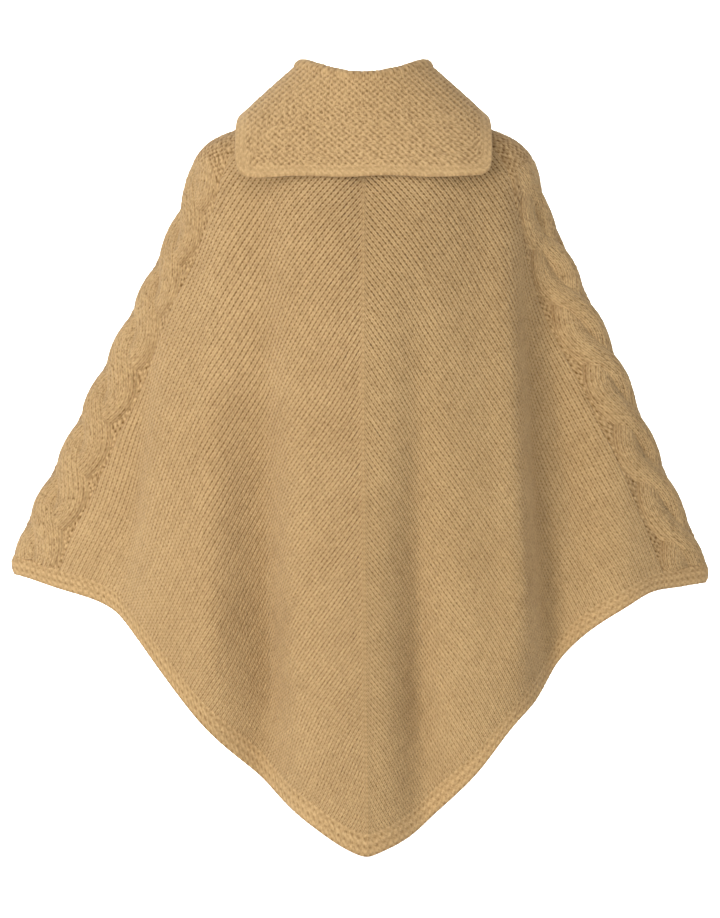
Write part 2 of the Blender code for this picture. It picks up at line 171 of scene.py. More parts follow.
# Purl bumps of the collar, the hem border and the gutters beside the cables
MOSS_CELL = 0.0041
MOSS_HOLE = 1.8  # above 1, the dips are smaller than the bumps
MOSS_DRIFT = 0.5  # how far they drift out of line, in radians
MOSS_DRIFT_RATES = (71, 57, 23)
MOSS_SWERVE = 40
MOSS_PHASE = 1.1
MOSS_SCATTER = 0.28  # how far single bumps stand up or sink

# Hem border, in garter ridges
BORDER_LEVEL = 0.970
BORDER_ROWS = 16
BORDER_ROW = COURSES * STITCH_ROWS  # the vertex row where it starts
BORDER_HEIGHT = 0.0006
RIDGE_HEIGHT = 0.0014
BUMP_SHARE = 0.45  # of the border's relief, from its purl bumps
RIDGE_SHARE = 0.25  # and from its ridges
RIDGE_SPACING = 0.0083
RIDGE_FIRST = 0.0042  # middle of the lowest ridge, from the edge
RIM_ROWS = ((0.0011, 0.80), (0.0017, 0.45))  # past the edge, and share of the wall

END_CLEARANCE = 0.35  # least room at the ends of a row, in columns of vertices

# Centre spine
SPINE_HALF = 0.0008
SPINE_COLUMNS = 2
SPINE_SOFT = 0.007  # the stitches lie flatter this near to it
SPINE_RELIEF = (0.88, 0.46)
SPINE_KEPT = 0.40  # share of their relief that they keep there
SPINE_HEIGHT = 0.0012

# Cable panels. Each starts on the shoulder line at the neck seam, and soon runs in front
# of it, by its centre's length round the body. The crossings are counted down the
# cable, from the neck seam.
CABLE_CENTRE = 0.034
CABLE_PANEL_HALF = 0.041
PANEL_LAP = 0.0015  # how far the front and back lie over the panel's edges
PANEL_DIP = 0.0012  # and how much lower those edges lie
PANEL_DIP_WIDTH = 0.004
STRAND_SWING = 0.0155  # how far each strand's centre swings to either side
STRAND_HALF = 0.0225
STRAND_HEIGHT = 0.0095
STRAND_DIP = 0.44  # how much lower the under-strand lies, as a share
STRAND_BLUNTNESS = 0.90  # 0.5 is an elliptical section, and 1 a parabola
STRAND_SINK = 0.0015  # how deep its edges lie in the panel
STRAND_STITCHES = 9
STRAND_WANDER = 0.0008
STRAND_WANDER_RATE = 90
STRAND_GAPS = 0.52  # depth of the gaps between its wales, as a share
# The share of relief lost at a strand's edges paints shade into the creases there, most on the
# under-strand
STRAND_EDGE_RELIEF_AND_SHADE = (0.90, 0.10)  # share of relief at its edges, over and under
ROPE_FROM = 0.135  # the rope comes out of the shoulder between these lengths
ROPE_WHOLE_FROM = 0.210
CABLE_FULL_FROM = 0.17  # length over which the cable swells from the neck seam
CABLE_NECK_SHARE = 0.2
CABLE_COLUMNS = ("side", "sign", "first_crossing", "crossing_spacing")
CABLES = (
    ("right", -1, 0.000, 0.069),
    ("left", 1, 0.027, 0.075),
)
STRAND_ENDING = 0.03  # the strands flatten above the hem border over this length
STRAND_END_SHARE = 0.35
PURL_HEIGHT = 0.0012
PURL_RELIEF = 0.85
PANEL_BLOCKS = 8

# Collar
COLLAR_FOLD_HALF_WIDTH = 0.0735
COLLAR_FOLD_DEPTH = 0.068
COLLAR_FOLD_FRONT = 0.061  # height of the fold at the centre front
COLLAR_FOLD_SIDE = 0.082
COLLAR_FOLD_BACK = 0.068
COLLAR_EDGE_HALF_WIDTH = 0.1503
COLLAR_EDGE_DEPTH = 0.125
COLLAR_EDGE_HEIGHT = -0.0645
COLLAR_EDGE_SIDE = 0.012  # height of its edge on top of the shoulder
COLLAR_SQUARENESS = 18.0  # of the edge, seen from above; 2 is an ellipse
COLLAR_EDGE_LEVEL_FROM = 0.097  # the edge is level further forward than this
COLLAR_ROUND = 2.40  # squareness of its level sections
COLLAR_SPREAD = 1.15  # they are wider by this for each unit of height down,
COLLAR_FRONT_SPREAD = 0.42  # and deeper by this
COLLAR_HEIGHTS = (-0.15, 0.10)  # the part turned down lies between these
COLLAR_HALVINGS = 30  # steps in which its height at a place is found
COLLAR_TUCK = 0.006  # the edge draws in over the shoulders
COLLAR_TUCK_REACH = 0.065
COLLAR_FOLD_RADIUS = 0.0085
COLLAR_SPOKES = 576
COLLAR_STAND_ROWS = 12
COLLAR_FOLD_ROWS = 8
COLLAR_DOWN_ROWS = 84
MOSS_HEIGHT = 0.0012
COLLAR_BORDER = 0.0125
COLLAR_SIDE_BORDER = 0.020  # where the border crosses the shoulders
COLLAR_RIB_SPACING = 0.0086
COLLAR_RIB_FIRST = 0.0040  # middle of the lowest rib, from the edge
COLLAR_RIB_HEIGHT = 0.0005
RIB_GROOVE = 0.5  # depth of the grooves between ribs, as a share
RIB_GROOVE_POWER = 3  # above 1, the grooves are narrower than the ribs
RIB_BEADS = 0.45  # share of that depth that comes and goes with each stitch
RIB_EVENNESS = 0.5
COLLAR_RIM = 0.0022  # half the width of the rolled rim
COLLAR_RIM_HEIGHT = 0.0002
EDGE_WAVE = 0.0009
EDGE_WAVE_RATE = 62.0
EDGE_TILT = 0.004  # the collar hangs lower at its -X side
SIDE_LATTICE_HALF = 0.022  # the shoulders' lattice reaches this far forward and back
SIDE_LATTICE_BLEND = 0.012
FRONT_SLOPE = 1.10  # length down the front for each unit of height

# Insides are cut more coarsely than what shows
INSIDE_STEP = 8

TINY = 0.002  # step along the surface, to find its slopes
JUST_SHORT = 0.001  # of a grid's last row or column, which has no next one
LINE_POINTS = 361
RING_POINTS = 2881
SIDE_ANGLE = np.pi / 2
SHARP_ANGLE = 76  # edges sharper than this, in degrees, stay sharp

# Cut of each piece before it is put on: width and length of its outline, and its area
HALF_CUTS = {"front": ((0.43, 0.88), 0.24), "back": ((0.50, 0.88), 0.28)}
CABLE_BASE_CUT = ((0.090, 0.70), 0.063)
STRAND_CUT = ((0.050, 0.74), 0.037)
COLLAR_CUT = ((0.80, 0.20), 0.145)

# Yarn
YARN = (0.510, 0.331, 0.149)
YARN_DEEP = (0.290, 0.158, 0.052)
YARN_PALE = (0.660, 0.465, 0.240)
# Painted shade: the colour that the gaps between stitches darken towards
YARN_GAP_SHADE = (0.150, 0.070, 0.018)
YARN_SURFACE = {
    "Roughness": 0.92,
    "Specular IOR Level": 0.2,
    "Sheen Weight": 0.15,
    "Sheen Roughness": 0.55,
    "Sheen Tint": (0.95, 0.84, 0.68, 1.0),
}
NOISE_COLUMNS = ("scale", "detail", "gain", "offset")
HEATHER = (420.0, 3.0, 1.0, -0.28)  # paler flecks in the yarn
DEEPENING = (9.0, 2.0, 0.4, -0.12)  # deeper patches over the cloth
FIBRE_CLUMPS = (700.0, 2.0, 0.6, 0.0)
FIBRES = (2600.0, 3.0, 0.4, 0.0)
FIBRE_HEIGHT = 0.0003
STITCH_BUMP = 0.0006
PATTERN_SHARE = 0.25  # of the colour's relief, from the pattern of each stitch
LEG_TOP, LEG_LEAN = 0.32, -0.14  # a leg's distance from its wale's middle, in stitches,
LEG_HALF = 0.19  # and how it changes down the stitch; its half width
LEG_ENDS, LEG_SWELL = 0.7, 0.3  # its height at its ends, and how much more between

# Camera and studio
CAMERA_PLACE = (-0.0042, -4.0, -0.3948)
VIEW_HEIGHT = 1.1016  # height of the view at the origin's distance
SENSOR = 36.0
FLOOR_HEIGHT = -1.02
FLOOR_FRONT, FLOOR_BACK = -12.0, 5.0
FLOOR_HALF_WIDTH = 14.0
FLOOR_BEND = 2.0  # radius of its bend, up into the backdrop
FLOOR_BEND_STEPS = 9
BACKDROP_HEIGHT = 9.0
FLOOR_SURFACE = {
    "Base Color": (0.95, 0.95, 0.94, 1.0),
    "Roughness": 1.0,
    "Specular IOR Level": 0.0,
}
WORLD_STRENGTH = 0.74
# Each light's name, place, aim, size and power
LIGHTS = (
    ("key", (-2.0, -3.4, -0.40), (0.0, 0.0, -0.45), 1.0, 82.0),
    ("top", (-0.8, -1.8, 2.20), (0.0, 0.0, -0.20), 0.5, 12.0),
    ("backdrop_left", (-3.0, 2.5, 2.5), (-1.5, 7.0, 0.0), 3.0, 350.0),
    ("backdrop_right", (3.0, 2.5, 2.5), (1.5, 7.0, 0.0), 3.0, 350.0),
)


# ---- body's form


def smooth_row(table, columns, at):
    """The table's columns at any value of its first one, through smooth curves."""
    table = np.array(table)
    knots, values = table[:, 0], table[:, 1:]
    slopes = np.gradient(values, knots, axis=0)
    row = np.clip(np.searchsorted(knots, at, side="right") - 1, 0, len(knots) - 2)
    span = (knots[row + 1] - knots[row])[..., None]
    t = (at - knots[row])[..., None] / span
    mixed = (
        values[row] * (1 + 2 * t) * (1 - t) ** 2
        + values[row + 1] * (3 - 2 * t) * t ** 2
        + slopes[row] * span * t * (1 - t) ** 2
        - slopes[row + 1] * span * t ** 2 * (1 - t)
    )
    return dict(zip(columns[1:], np.moveaxis(mixed, -1, 0)))


def smooth_step(value):
    value = np.clip(value, 0, 1)
    return value ** 2 * (3 - 2 * value)


def course_fall(across, level):
    """Share of the drop, 1 at the centre and 0 near the side."""
    across = (np.hypot(across, TIP_ROUND) - TIP_ROUND) / (np.hypot(1, TIP_ROUND) - TIP_ROUND)
    shape = smooth_row(COURSE_SHAPE, COURSE_COLUMNS, across)
    near_hem = level ** 2
    return shape["fall_at_neck"] * (1 - near_hem) + shape["fall_at_hem"] * near_hem


def body_surface(level, angle):
    """Points of the cloth's inner face. The angle is 0 at the centre front, and a
    quarter turn at the +X side."""
    level, angle = np.broadcast_arrays(np.asarray(level, float), angle)
    size = smooth_row(BODY_SECTIONS, BODY_COLUMNS, level)
    sine, cosine = np.sin(angle), np.cos(angle)
    front = cosine > 0
    across = np.abs(sine)
    depth = np.where(front, size["front_depth"], size["back_depth"])
    drop = np.where(front, size["front_drop"], size["back_drop"])
    x = size["half_width"] * sine
    y = -depth * cosine * (1 - size["pinch"] * across ** 2)
    z = size["side_height"] - drop * course_fall(across, level)
    out_x, out_y = x / size["half_width"] ** 2, y / depth ** 2
    out = np.maximum(np.hypot(out_x, out_y), 1e-9)
    fade = smooth_step(np.abs(cosine) / FOLD_FADE)
    start_x = x.copy()
    eased = smooth_step((level - CREASE_EASE_FROM) / (1 - CREASE_EASE_FROM))
    shares = [1.0] * len(FOLDS) + [1 - CREASE_EASE * eased] * len(CREASES)
    for share, row in zip(shares, FOLDS + CREASES):
        fold = dict(zip(FOLD_COLUMNS, row))
        run = np.clip((level - fold["level_start"]) / (1 - fold["level_start"]), 0, 1)
        centre = fold["x_start"] + (fold["x_hem"] - fold["x_start"]) * run
        offset = (start_x - centre) / fold["half_breadth"]
        reach = share * (1 - (1 - run) ** 2) * np.exp(-offset ** 2)
        push = fold["depth"] * reach * fade * (front == (fold["face"] == "front"))
        x = x + push * out_x / out
        y = y + push * out_y / out
    for row in HEM_WAVES:
        wave = dict(zip(HEM_WAVE_COLUMNS, row))
        offset = (start_x - wave["x"]) / wave["half_breadth"]
        reach = level ** HEM_WAVE_RISE * np.exp(-offset ** 2)
        z = z + wave["lift"] * reach * fade * (front == (wave["face"] == "front"))
    drawn = HEM_DRAW * np.clip((level - HEM_DRAW_FROM) / (1 - HEM_DRAW_FROM), 0, None) ** 2
    x = x * (1 - drawn * across ** HEM_DRAW_POWER)
    x = x + size["lean"] * across ** 2 + size["sway"] * cosine ** 2
    z = z + size["tilt"] * sine * across ** 2
    return np.stack([x, y, z], axis=-1)


def body_normal(level, angle):
    """Outward unit normals of the body surface."""
    low, high = np.clip(level - TINY, 0, 1), np.clip(level + TINY, 0, 1)
    down = body_surface(high, angle) - body_surface(low, angle)
    along = body_surface(level, angle + TINY) - body_surface(level, angle - TINY)
    normal = np.cross(down, along)
    return normal / np.linalg.norm(normal, axis=-1, keepdims=True)


def course_lines(levels, side_sign, to_front):
    """Angles from the side line to the centre front or back, and for each course the
    length round it at each of them and its points there."""
    far = 0.0 if to_front else side_sign * np.pi
    angles = np.linspace(side_sign * SIDE_ANGLE, far, LINE_POINTS)
    points = body_surface(levels[:, None], angles[None, :])
    steps = np.linalg.norm(np.diff(points, axis=1), axis=2)
    run = np.concatenate([np.zeros((len(levels), 1)), np.cumsum(steps, axis=1)], axis=1)
    return angles, run, points


# ---- knitted relief


def row_levels():
    """Levels of the vertex rows: two to each course, then the finer hem border."""
    body = np.linspace(0, BORDER_LEVEL, BORDER_ROW + 1)
    border = np.linspace(BORDER_LEVEL, 1, BORDER_ROWS + 1)[1:]
    return np.concatenate([body, border])


def unevenness(level, across):
    """Slow wander of hand-knitted stitches, from -1 to 1."""
    down = level * SIDE_LENGTH
    first, second, third, fourth = (
        np.sin(each[0] * across + each[1] * down + each[2]) for each in WANDER_WAVES)
    return (first * second + third * fourth) / 2


def moss_relief(around, down):
    """Purl bumps and the dips between them, like a draughtboard, and as uneven as
    hand knitting."""
    around_rate, down_rate, swerve_rate = MOSS_DRIFT_RATES
    drift = np.sin(around_rate * around + MOSS_SWERVE * np.sin(swerve_rate * down))
    drift = MOSS_DRIFT * drift * np.sin(down_rate * down + MOSS_PHASE)
    dips = 0.5 - 0.5 * np.cos(np.pi * around / MOSS_CELL + drift) * np.cos(
        np.pi * down / MOSS_CELL - drift)
    return 1 - dips ** MOSS_HOLE + MOSS_SCATTER * SCATTER.normal(size=dips.shape)


def border_relief(level, across):
    """Relief and height of the hem border: soft garter ridges, with purl bumps."""
    from_edge = (1 - level) * SIDE_LENGTH
    ridge = 0.5 + 0.5 * np.cos(2 * np.pi * (from_edge - RIDGE_FIRST) / RIDGE_SPACING)
    bumps = moss_relief(across, from_edge + 0 * across)
    relief = 1 - BUMP_SHARE * (1 - bumps) - RIDGE_SHARE * (1 - ridge)
    return relief, BORDER_HEIGHT + RIDGE_HEIGHT * (relief - 0.5)


def leg_tables(row, column):
    """Sideways shift in stitches and relief of stockinette vertices."""
    shift = np.array(LEG_SHIFTS)[row % STITCH_ROWS, column % STITCH_COLUMNS]
    relief = np.array(LEG_RELIEF)[row % STITCH_ROWS, column % STITCH_COLUMNS]
    return shift, relief


def stitch_uv(stitches, row):
    """Stitch coordinates of a vertex row, from the stitches across."""
    return np.stack([stitches, np.full(len(stitches), row / STITCH_ROWS)], axis=1)


# ---- mesh building


def add_object(name, data):
    added = bpy.data.objects.new(name, data)
    bpy.context.scene.collection.objects.link(added)
    return added


def add_piece(name, points, faces, uv, relief, materials, face_materials):
    """A closed mesh object. Faces are lists of vertex numbers, uv and relief belong
    to the vertices, and face_materials gives each face's material."""
    sizes = np.array([len(f) for f in faces])
    corners = np.concatenate([np.asarray(f, np.int32) for f in faces])
    mesh = bpy.data.meshes.new(name)
    mesh.vertices.add(len(points))
    mesh.vertices.foreach_set("co", np.asarray(points, np.float32).ravel())
    mesh.loops.add(len(corners))
    mesh.loops.foreach_set("vertex_index", corners)
    mesh.polygons.add(len(sizes))
    mesh.polygons.foreach_set("loop_start", (np.cumsum(sizes) - sizes).astype(np.int32))
    mesh.update(calc_edges=True)
    layer = mesh.uv_layers.new(name="stitches")
    layer.uv.foreach_set("vector", uv[corners].astype(np.float32).ravel())
    attribute = mesh.attributes.new("relief", "FLOAT", "POINT")
    attribute.data.foreach_set("value", relief.astype(np.float32))
    for material in materials:
        mesh.materials.append(material)
    mesh.polygons.foreach_set("material_index", np.asarray(face_materials, np.int32))
    mesh.shade_smooth()
    mesh.set_sharp_from_angle(angle=np.radians(SHARP_ANGLE))
    mesh.validate()
    return add_object(name, mesh)


def quad_strip(upper, lower):
    return np.stack([upper[:-1], lower[:-1], lower[1:], upper[1:]], axis=1)


def patch(rows, tail):
    """One side of a sheet, from rows of (first column, points, uv, relief). A row is a
    head vertex, its plain columns, numbered from the first, and a tail of vertices."""
    ids, start = [], 0
    for first, points, _, _ in rows:
        row = np.arange(start, start + len(points))
        ids.append((first, row[:1], row[1:-tail], row[-tail:]))
        start += len(points)
    points, uv, relief = (np.concatenate([row[k] for row in rows]) for k in (1, 2, 3))
    return {"points": points, "uv": uv, "relief": relief, "ids": ids}


def patch_faces(ids):
    """Faces between the rows of a patch, with the row of each and whether it is in the
    tail. One face at each end takes up the columns that only one of its rows has."""
    faces, owners, in_tail = [], [], []
    for r in range(len(ids) - 1):
        (up_first, up_head, upper, up_tail), (low_first, low_head, lower, low_tail) = ids[r:r + 2]
        begin = max(up_first, low_first)
        end = min(up_first + len(upper), low_first + len(lower))
        up_begin, up_end = begin - up_first, end - up_first
        low_begin, low_end = begin - low_first, end - low_first
        head = [*up_head, *low_head, *lower[:low_begin + 1], *upper[:up_begin + 1][::-1]]
        wedge = [*lower[low_end - 1:], low_tail[0], up_tail[0], *upper[up_end - 1:][::-1]]
        plain = quad_strip(upper[up_begin:up_end], lower[low_begin:low_end]).tolist()
        tail = quad_strip(up_tail, low_tail).tolist()
        faces.extend([head, *plain, wedge, *tail])
        owners.extend([r] * (len(plain) + len(tail) + 2))
        in_tail.extend([False] * (len(plain) + 2) + [True] * len(tail))
    return faces, np.array(owners), np.array(in_tail)


def rim_faces(outer, inner, places, row_steps):
    """Faces round the edge of a sheet, from its shown side to its coarser inside, which
    has a row at each of row_steps, with vertices below those at the places."""
    outer, inner = ([np.concatenate(row[1:]) for row in side] for side in (outer, inner))
    rims = []
    for k in range(len(row_steps) - 1):
        rows = range(row_steps[k], row_steps[k + 1] + 1)
        rims.append([outer[r][0] for r in rows][::-1] + [inner[k][0], inner[k + 1][0]])
        rims.append([outer[r][-1] for r in rows] + [inner[k + 1][-1], inner[k][-1]])
    for edge in (0, -1):
        marks = places[edge]
        for c in range(len(marks) - 1):
            rim = list(outer[edge][marks[c]:marks[c + 1] + 1])
            rim = rim + [inner[edge][c + 1], inner[edge][c]]
            rims.append(rim[::-1] if edge else rim)
    return rims


def inside_row(first, points, uv):
    """A coarser row for the inside of a sheet, and the places that it keeps."""
    column = np.arange(first, first + len(points))
    places = np.flatnonzero(column % INSIDE_STEP == 0)
    places = np.unique([0, *places, len(points) - 1])
    start = -(-(first + 1) // INSIDE_STEP)
    # Its relief is 0, so the inside takes the painted gap shade all over
    return (start, points[places], uv[places], np.zeros(len(places))), places


def add_sheet(name, outer_rows, inner_rows, row_steps, tail, turned, materials, border_row):
    """A sheet with a fine shown side and a coarser inside. The materials are those of
    the cloth, of plain yarn on its tail, rim and border, and of the inside."""
    outer = patch(outer_rows, tail)
    inner = patch([row for row, _ in inner_rows], 1)
    below = len(outer["points"])
    inner_ids = [(row[0], *(part + below for part in row[1:])) for row in inner["ids"]]
    shown, owners, in_tail = patch_faces(outer["ids"])
    hidden = [face[::-1] for face in patch_faces(inner_ids)[0]]
    rims = rim_faces(outer["ids"], inner_ids, [places for _, places in inner_rows], row_steps)
    faces = shown + hidden + rims
    if turned:
        faces = [face[::-1] for face in faces]
    kinds = list(np.where(in_tail | (owners >= border_row), 1, 0))
    kinds += [2] * len(hidden) + [1] * len(rims)
    points, uv, relief = (
        np.concatenate([outer[key], inner[key]]) for key in ("points", "uv", "relief"))
    return add_piece(name, points, faces, uv, relief, materials, kinds)


# ---- front and back


def cable_centre(level):
    """How far the middle of the cable panel lies in front of the side line."""
    return CABLE_CENTRE * smooth_step(level * SIDE_LENGTH / CABLE_FULL_FROM)


def course_slip(levels, runs, points, row):
    """Between a course and the one above it: lengths from the side line, and how far a
    line square to the courses moves along them there, for each unit of level."""
    lengths = np.linspace(0, runs[row - 1][-1], LINE_POINTS)
    upper, lower = (
        np.stack([np.interp(lengths, runs[r], points[r][:, k]) for k in range(3)], axis=1)
        for r in (row - 1, row))
    along = np.gradient(lower, lengths, axis=0)
    down = (lower - upper) / (levels[row] - levels[row - 1])
    return lengths, -(down * along).sum(axis=1)


def wale_columns(levels, starts, runs, points):
    """For each course, the number of its first column of vertices, and the lengths from
    the side line to its columns. Wales end at the cable panel and at the spine."""
    anchor, width = starts[-1], STITCH_AT_HEM / STITCH_COLUMNS
    columns = []
    for row in range(len(levels) - 1, -1, -1):
        end = runs[row][-1] - SPINE_HALF
        first = int(np.ceil((starts[row] - anchor) / width + END_CLEARANCE))
        last = int(np.floor((end - anchor) / width - END_CLEARANCE))
        share = (anchor + width * np.arange(first, last + 1) - starts[row]) / (end - starts[row])
        share = share * (1 + WALE_SPREAD * (1 - share))
        columns.append((first, starts[row] + (end - starts[row]) * share))
        if row:
            step = levels[row] - levels[row - 1]
            middle = (starts[row] + end) / 2
            slip = np.interp(middle, *course_slip(levels, runs, points, row))
            slip = slip * np.interp(levels[row], SQUARENESS_LEVELS, WALE_SQUARENESS)
            anchor = anchor - step * (slip - WALE_NARROWING * (anchor - middle))
            width = width * (1 + step * WALE_NARROWING)
    return columns[::-1]


def half_panel_row(row, level, start, reach, first, plain):
    """One vertex row on the shown side of a half panel, from the lengths of its columns:
    all its lengths, heights, stitch coordinates and relief."""
    column = np.arange(first, first + len(plain))
    tail = np.linspace(reach - SPINE_HALF, reach, SPINE_COLUMNS + 1)
    stitch = np.concatenate([column[:1] - 1, column, 0 * tail + column[-1] + 1])
    if level < BORDER_LEVEL:
        wander = unevenness(level, plain)
        shift, relief = leg_tables(row, column)
        relief = 1 - np.interp(level, OPENNESS_LEVELS, OPENNESS) * (1 - relief)
        relief = relief * (1 + LEG_WANDER * wander)
        relief = relief + STITCH_SCATTER * SCATTER.normal(size=len(plain))
        inside = smooth_step((reach - plain) / SPINE_SOFT)
        chain = SPINE_RELIEF[row % STITCH_ROWS]
        relief = chain + (relief - chain) * (SPINE_KEPT + (1 - SPINE_KEPT) * inside)
        inside = inside * smooth_step((plain - start) / STITCH)
        plain = plain + STITCH_AT_HEM * inside * (shift + WALE_WANDER * wander)
        lengths = np.concatenate([[start], plain, tail])
        relief = np.concatenate([[chain], relief, 0 * tail + chain])
        heights = STITCH_HEIGHT * (relief - 0.5)
    else:
        lengths = np.concatenate([[start], plain, tail])
        relief, heights = border_relief(level, lengths)
    heights = heights + SPINE_HEIGHT * (1 - smooth_step((reach - lengths) / SPINE_SOFT))
    return lengths, heights, stitch_uv(stitch / STITCH_COLUMNS, row), relief


def build_half_panel(name, side_sign, to_front, materials):
    """Half of the front or back, from its cable panel to the spine."""
    levels = row_levels()
    line, runs, points = course_lines(levels, side_sign, to_front)
    forward = cable_centre(levels) if to_front else -cable_centre(levels)
    starts = CABLE_PANEL_HALF - PANEL_LAP + forward
    columns = wale_columns(levels, starts, runs, points)
    steps = list(range(0, len(levels), INSIDE_STEP))
    outer, inner = [], []
    for row, level in enumerate(levels):
        first, plain = columns[row]
        lengths, heights, uv, relief = half_panel_row(
            row, level, starts[row], runs[row][-1], first, plain)
        angles = np.interp(lengths, runs[row], line)
        inside = body_surface(level, angles)
        shown = inside + body_normal(level, angles) * (WALL + heights)[:, None]
        outer.append((first, shown, uv, relief))
        if row in steps:
            inner.append(inside_row(first - 1, inside, uv))
    for past, share in RIM_ROWS:
        inside = body_surface(1 + past / SIDE_LENGTH, angles)
        shown = inside + body_normal(1.0, angles) * ((WALL + heights) * share)[:, None]
        outer.append((first, shown, uv, relief))
    steps[-1] = len(outer) - 1
    turned = (side_sign > 0) == to_front
    return add_sheet(
        name, outer, inner, steps, SPINE_COLUMNS + 1, turned, materials, BORDER_ROW)


# ---- cable panels


def panel_surface(sign, levels, across):
    """Inner surface points and normals of a cable panel. Across is positive to the
    right, for someone who faces the cable."""
    front_line, front_runs, _ = course_lines(levels, sign, True)
    back_line, back_runs, _ = course_lines(levels, sign, False)
    angles = np.empty((len(levels), len(across)))
    for row, level in enumerate(levels):
        forward = cable_centre(level) - sign * across
        ahead = np.interp(forward, front_runs[row], front_line)
        behind = np.interp(-forward, back_runs[row], back_line)
        angles[row] = np.where(forward > 0, ahead, behind)
    grid = levels[:, None]
    return body_surface(grid, angles), body_normal(np.minimum(grid, 1), angles)


def panel_columns():
    return np.linspace(-CABLE_PANEL_HALF, CABLE_PANEL_HALF, PANEL_BLOCKS * INSIDE_STEP + 1)


def build_cable_base(name, sign, materials):
    """The cable's panel: reverse stockinette, which shows as gutters beside the rope,
    and the hem border below."""
    levels, across = row_levels(), panel_columns()
    steps = list(range(0, len(levels), INSIDE_STEP))
    past = np.array([1 + row[0] / SIDE_LENGTH for row in RIM_ROWS])
    points, normals = panel_surface(sign, np.concatenate([levels, past]), across)
    to_edge = (CABLE_PANEL_HALF - np.abs(across)) / PANEL_DIP_WIDTH
    dip = PANEL_DIP * (1 - smooth_step(to_edge))
    outer, inner = [], []
    for row, level in enumerate(levels):
        if level < BORDER_LEVEL:
            down = level * SIDE_LENGTH
            relief = PURL_RELIEF * moss_relief(across, down + 0 * across)
            heights = PURL_HEIGHT * (relief - 0.5) + shoulder_swell(down, across)
        else:
            relief, heights = border_relief(level, across)
        heights = heights - dip
        shown = points[row] + normals[row] * (WALL + heights)[:, None]
        uv = stitch_uv(across / STITCH, row)
        outer.append((1, shown, uv, relief))
        if row in steps:
            inner.append(inside_row(0, points[row], uv))
    for row, (_, share) in enumerate(RIM_ROWS, len(levels)):
        shown = points[row] + normals[row] * ((WALL + heights) * share)[:, None]
        outer.append((1, shown, uv, relief))
    steps[-1] = len(outer) - 1
    return add_sheet(name, outer, inner, steps, 1, False, materials, BORDER_ROW)


def sampled(grid, row, column):
    """Values of a grid of points between its rows and columns."""
    row = np.clip(row, 0, grid.shape[0] - 1 - JUST_SHORT)
    column = np.clip(column, 0, grid.shape[1] - 1 - JUST_SHORT)
    r, c = row.astype(int), column.astype(int)
    t, u = (row - r)[:, None], (column - c)[:, None]
    upper = grid[r, c] * (1 - u) + grid[r, c + 1] * u
    lower = grid[r + 1, c] * (1 - u) + grid[r + 1, c + 1] * u
    return upper * (1 - t) + lower * t


def cable_swell(down):
    """Height of the cable down its length, and the share of it that stands as a rope:
    above, it is a smooth swell of the shoulder."""
    swell = CABLE_NECK_SHARE + (1 - CABLE_NECK_SHARE) * np.minimum(down / CABLE_FULL_FROM, 1)
    rope = smooth_step((down - ROPE_FROM) / (ROPE_WHOLE_FROM - ROPE_FROM))
    return STRAND_HEIGHT * swell, rope


def shoulder_swell(down, across):
    height, rope = cable_swell(down)
    return height * (1 - rope) * (1 - (across / CABLE_PANEL_HALF) ** 2)


def strand_course(cable, strand, down):
    """Where the middle of a strand lies across its panel, how it leans there, how far it
    lies under the other, and its height."""
    turn = np.pi * (0.5 + (down - cable["first_crossing"]) / cable["crossing_spacing"])
    wander = STRAND_WANDER * np.sin(STRAND_WANDER_RATE * down + 2 * strand)
    centre = strand * STRAND_SWING * np.cos(turn) + wander
    lean = -strand * STRAND_SWING * np.pi / cable["crossing_spacing"] * np.sin(turn)
    under = (1 + strand * np.sin(turn)) / 2
    height, rope = cable_swell(down)
    ending = smooth_step((BORDER_LEVEL * SIDE_LENGTH - down) / STRAND_ENDING)
    height = height * rope * (STRAND_END_SHARE + (1 - STRAND_END_SHARE) * ending)
    return centre, lean, under, height * (1 - STRAND_DIP * under) - STRAND_SINK * (1 - rope)


def build_strand(name, cable, strand, materials):
    """One strand of the rope, in stockinette that runs along it."""
    levels, columns = row_levels()[:BORDER_ROW + 1], panel_columns()
    steps = list(range(0, len(levels), INSIDE_STEP))
    points, normals = panel_surface(cable["sign"], levels, columns)
    side = np.arange(STRAND_STITCHES * STITCH_COLUMNS + 1)
    outer, inner = [], []
    for row, level in enumerate(levels):
        down = level * SIDE_LENGTH
        centre, lean, under, crest = strand_course(cable, strand, down)
        shift, relief = leg_tables(row, side)
        out = np.clip(2 * (side + STITCH_COLUMNS * shift) / side[-1] - 1, -1, 1)
        roundness = (1 - out ** 2) ** STRAND_BLUNTNESS
        relief = 1 - STRAND_GAPS * (1 - relief)
        relief = relief * (1 + LEG_WANDER * unevenness(level, out + strand))
        relief = relief + MOSS_SCATTER * SCATTER.normal(size=len(side))
        # Painted shade: the relief, and so the colour, falls towards the strand's edges, most
        # where it lies under the other, as in the crossing's creases
        at_edge = np.interp(under, (0, 1), STRAND_EDGE_RELIEF_AND_SHADE)
        relief = relief * (at_edge + (1 - at_edge) * roundness)
        height = roundness * (crest + STITCH_HEIGHT * (relief - 0.5))
        out = STRAND_HALF * out
        height = height - STRAND_SINK * (1 - roundness) + shoulder_swell(down, centre + out)
        slant = np.hypot(1, lean)
        at_row = (level - out * lean / slant / SIDE_LENGTH) / levels[-1] * (len(levels) - 1)
        at_column = (centre + out / slant - columns[0]) / (columns[1] - columns[0])
        base = sampled(points, at_row, at_column)
        normal = sampled(normals, at_row, at_column)
        shown = base + normal * (WALL + height)[:, None]
        uv = stitch_uv(side / STITCH_COLUMNS, row)
        outer.append((1, shown, uv, relief))
        if row in steps:
            inner.append(inside_row(0, base + normal * (WALL - 2 * STRAND_SINK), uv))
    return add_sheet(name, outer, inner, steps, 1, False, materials, len(levels))


# ---- collar


